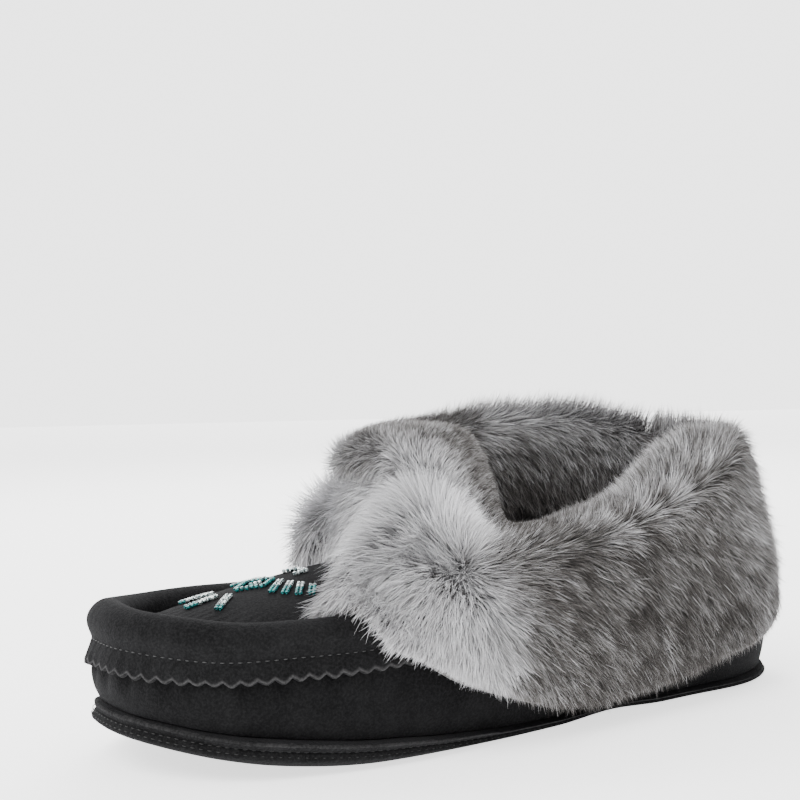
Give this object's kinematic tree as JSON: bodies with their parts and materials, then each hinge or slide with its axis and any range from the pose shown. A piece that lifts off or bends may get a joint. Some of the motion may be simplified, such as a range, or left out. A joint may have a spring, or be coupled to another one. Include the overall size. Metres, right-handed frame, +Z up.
{
  "type": "beaded slipper",
  "caption": "Suede moccasin slipper with a rolled and pinked apron, bead embroidery on the vamp, a padded sole and a deep fur cuff round the mouth.",
  "frame": {"origin": "on the floor in the middle of the forefoot's flat spot", "axes": "+Z up from the floor, -Y towards the toe, +X towards the outer side of the foot"},
  "size_m": [0.1208, 0.2589, 0.1011],
  "materials": {
    "suede": "matte napped suede",
    "apron_suede": "matte napped suede",
    "sole_suede": "matte napped suede, padded",
    "lining": "short pile",
    "fur": "long soft rabbit fur",
    "white_bead": "glossy glass beads",
    "teal_bead": "glossy glass beads"
  },
  "bodies": {
    "root": {"outsole": "sole_suede", "upper": "suede", "apron": "apron_suede", "insole": "lining", "fur_cuff": "fur", "beads_ray_middle": "white_bead", "beads_ray_outer": "white_bead", "beads_ray_inner": "white_bead", "beads_wing_outer_1": "white_bead", "beads_wing_outer_2": "white_bead", "beads_wing_outer_3": "white_bead", "beads_wing_outer_4": "white_bead", "beads_wing_inner_1": "white_bead", "beads_wing_inner_2": "white_bead", "beads_wing_inner_3": "white_bead", "beads_wing_inner_4": "white_bead", "beads_eye": "white_bead", "beads_tail_1": "white_bead", "beads_tail_2": "white_bead", "beads_tail_3": "white_bead", "beads_head_1": "teal_bead", "beads_head_2": "teal_bead", "beads_head_3": "teal_bead", "beads_head_4": "teal_bead"}
  },
  "joints": []
}
